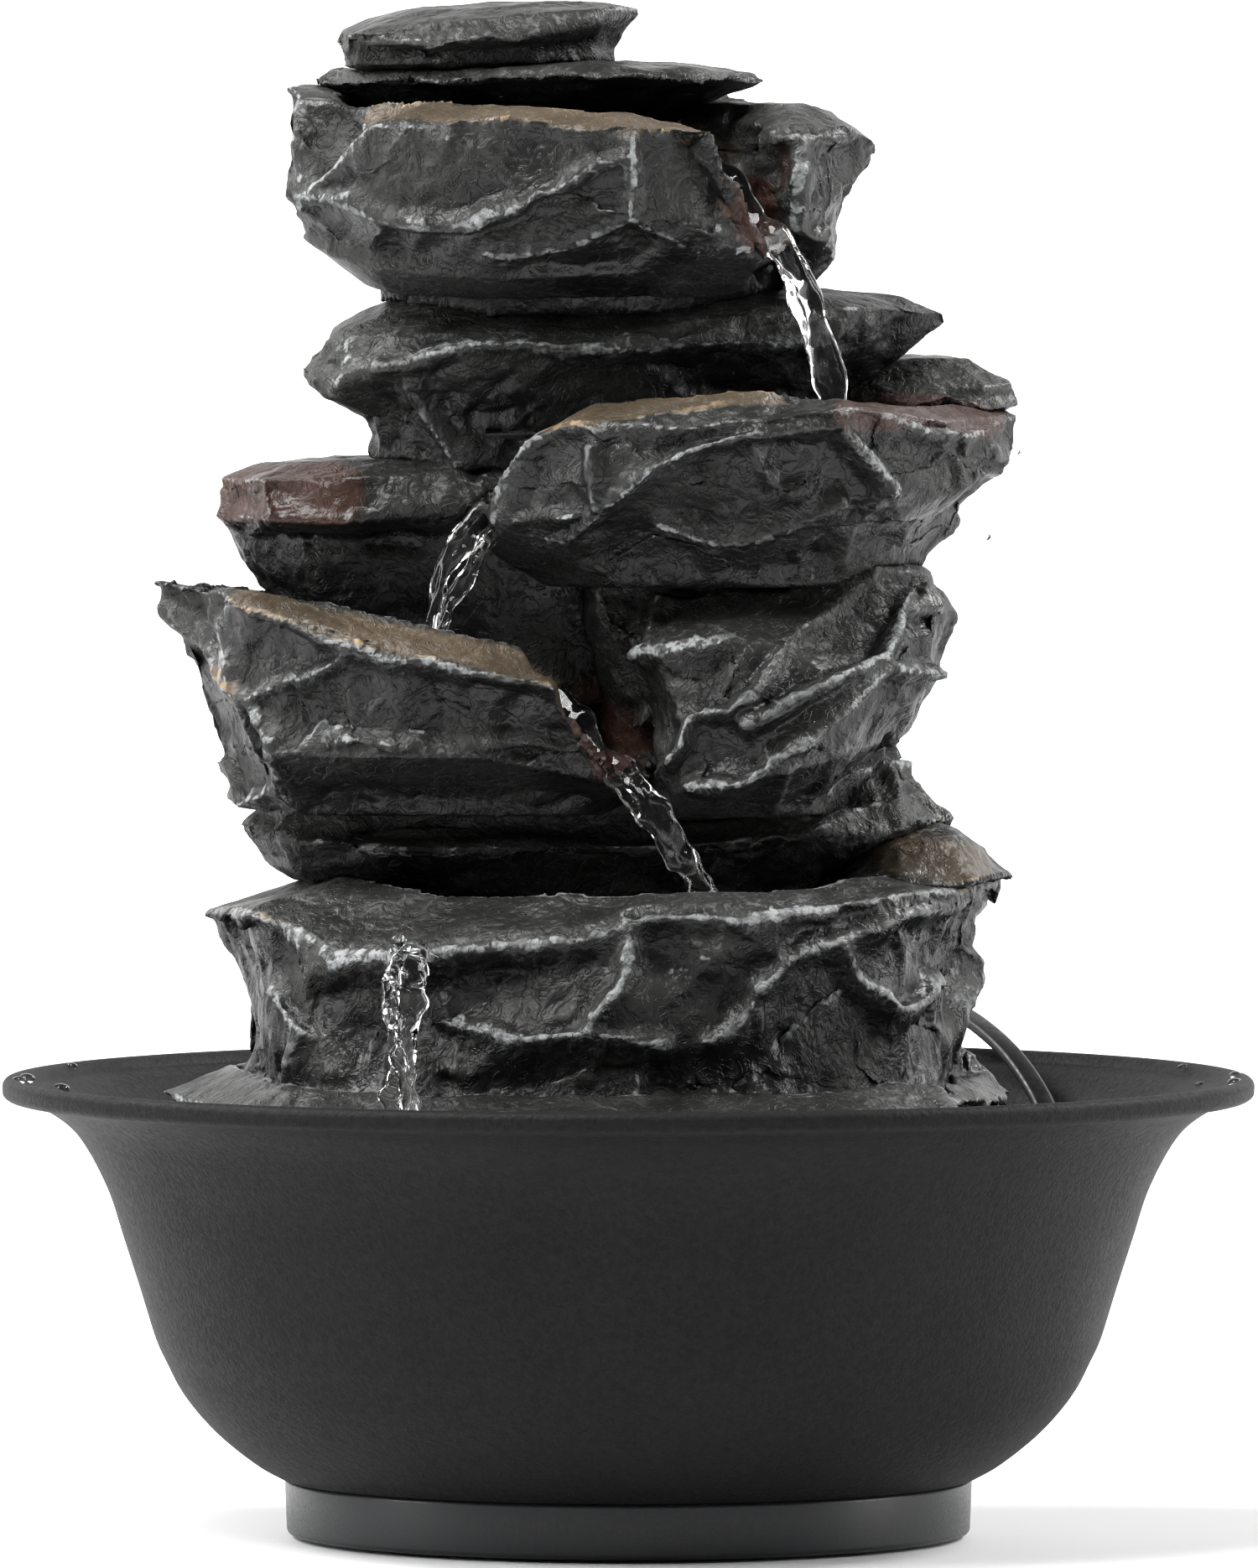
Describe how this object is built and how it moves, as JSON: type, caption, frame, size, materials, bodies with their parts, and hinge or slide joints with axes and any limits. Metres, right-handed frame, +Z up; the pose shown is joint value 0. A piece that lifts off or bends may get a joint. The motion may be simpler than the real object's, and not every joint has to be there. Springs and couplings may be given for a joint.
{
  "type": "tabletop water fountain",
  "caption": "Tabletop rock-cascade water fountain: stacked stone basins that spill into a round flared bowl, with a submersible pump and a plug-in adapter.",
  "frame": {"origin": "centre of the foot's resting plane", "axes": "+Z up, -Y towards the viewer's side where the falls are, +X to the viewer's right"},
  "size_m": [0.21, 0.3003, 0.2574],
  "materials": {
    "cast_stone": "wet, dry-brushed cast resin stone",
    "bowl_plastic": "fine sand texture",
    "ring_plastic": "satin",
    "foot_rubber": "matte",
    "seat_foam": "closed-cell foam",
    "clear_tube": "clear vinyl",
    "black_rubber": "matte",
    "pump_plastic": "fine moulded",
    "potting_resin": "cast epoxy",
    "bush_ceramic": "ground",
    "rotor_magnet": "sintered ferrite",
    "impeller_plastic": "moulded",
    "lamination_steel": "stacked laminations",
    "winding_copper": "enamelled wire",
    "filter_sponge": "open-cell foam",
    "dial_plastic": "moulded",
    "lead_jacket": "satin vinyl",
    "tie_plastic": "plastic tie",
    "adapter_plastic": "fine texture",
    "pin_brass": "nickel-bright"
  },
  "bodies": {
    "bowl": {"bowl": "bowl_plastic", "foot_ring": "ring_plastic", "rubber_feet": "foot_rubber", "pump_housing": "pump_plastic", "suction_cups": "black_rubber", "rear_bush": "bush_ceramic", "impeller_shaft": "bush_ceramic", "stator_core": "lamination_steel", "stator_winding": "winding_copper", "motor_cap": "potting_resin", "cord_gland": "black_rubber", "cord_run": "lead_jacket", "cord_coil": "lead_jacket", "coil_tie": "tie_plastic", "cord_tail": "lead_jacket", "adapter_body": "adapter_plastic", "adapter_relief": "adapter_plastic", "adapter_pins": "pin_brass"},
    "cascade": {"base_rock": "cast_stone", "shoulder_stone": "cast_stone", "lower_ledge_stone": "cast_stone", "left_basin_rock": "cast_stone", "right_boulder": "cast_stone", "left_slab_stone": "cast_stone", "right_basin_rock": "cast_stone", "back_rim_stone": "cast_stone", "upper_ledge_stone": "cast_stone", "top_basin_rock": "cast_stone", "spout_cheek_stone": "cast_stone", "cover_slab": "cast_stone", "cap_stone": "cast_stone", "riser_tube": "clear_tube", "tube_grommet": "black_rubber", "seat_pads": "seat_foam"},
    "intake": {"intake_cover": "pump_plastic", "intake_sponge": "filter_sponge", "front_bush": "bush_ceramic"},
    "dial": {"flow_dial": "dial_plastic"},
    "rotor": {"magnet_rotor": "rotor_magnet", "impeller": "impeller_plastic"}
  },
  "joints": [
    {"name": "cascade_lift", "type": "slide", "parent": "bowl", "child": "cascade", "axis": [0, 0, 1], "range_m": [0, 0.1]},
    {"name": "intake_pull", "type": "slide", "parent": "bowl", "child": "intake", "axis": [-1, 0, 0], "range_m": [0, 0.012]},
    {"name": "flow_turn", "type": "hinge", "parent": "intake", "child": "dial", "pos_m": [-0.026, 0.014, 0.0357], "axis": [-1, 0, 0], "range_deg": [0, 90]},
    {"name": "rotor_spin", "type": "hinge", "parent": "bowl", "child": "rotor", "pos_m": [0.004, 0.014, 0.0357], "axis": [1, 0, 0], "continuous": true}
  ]
}
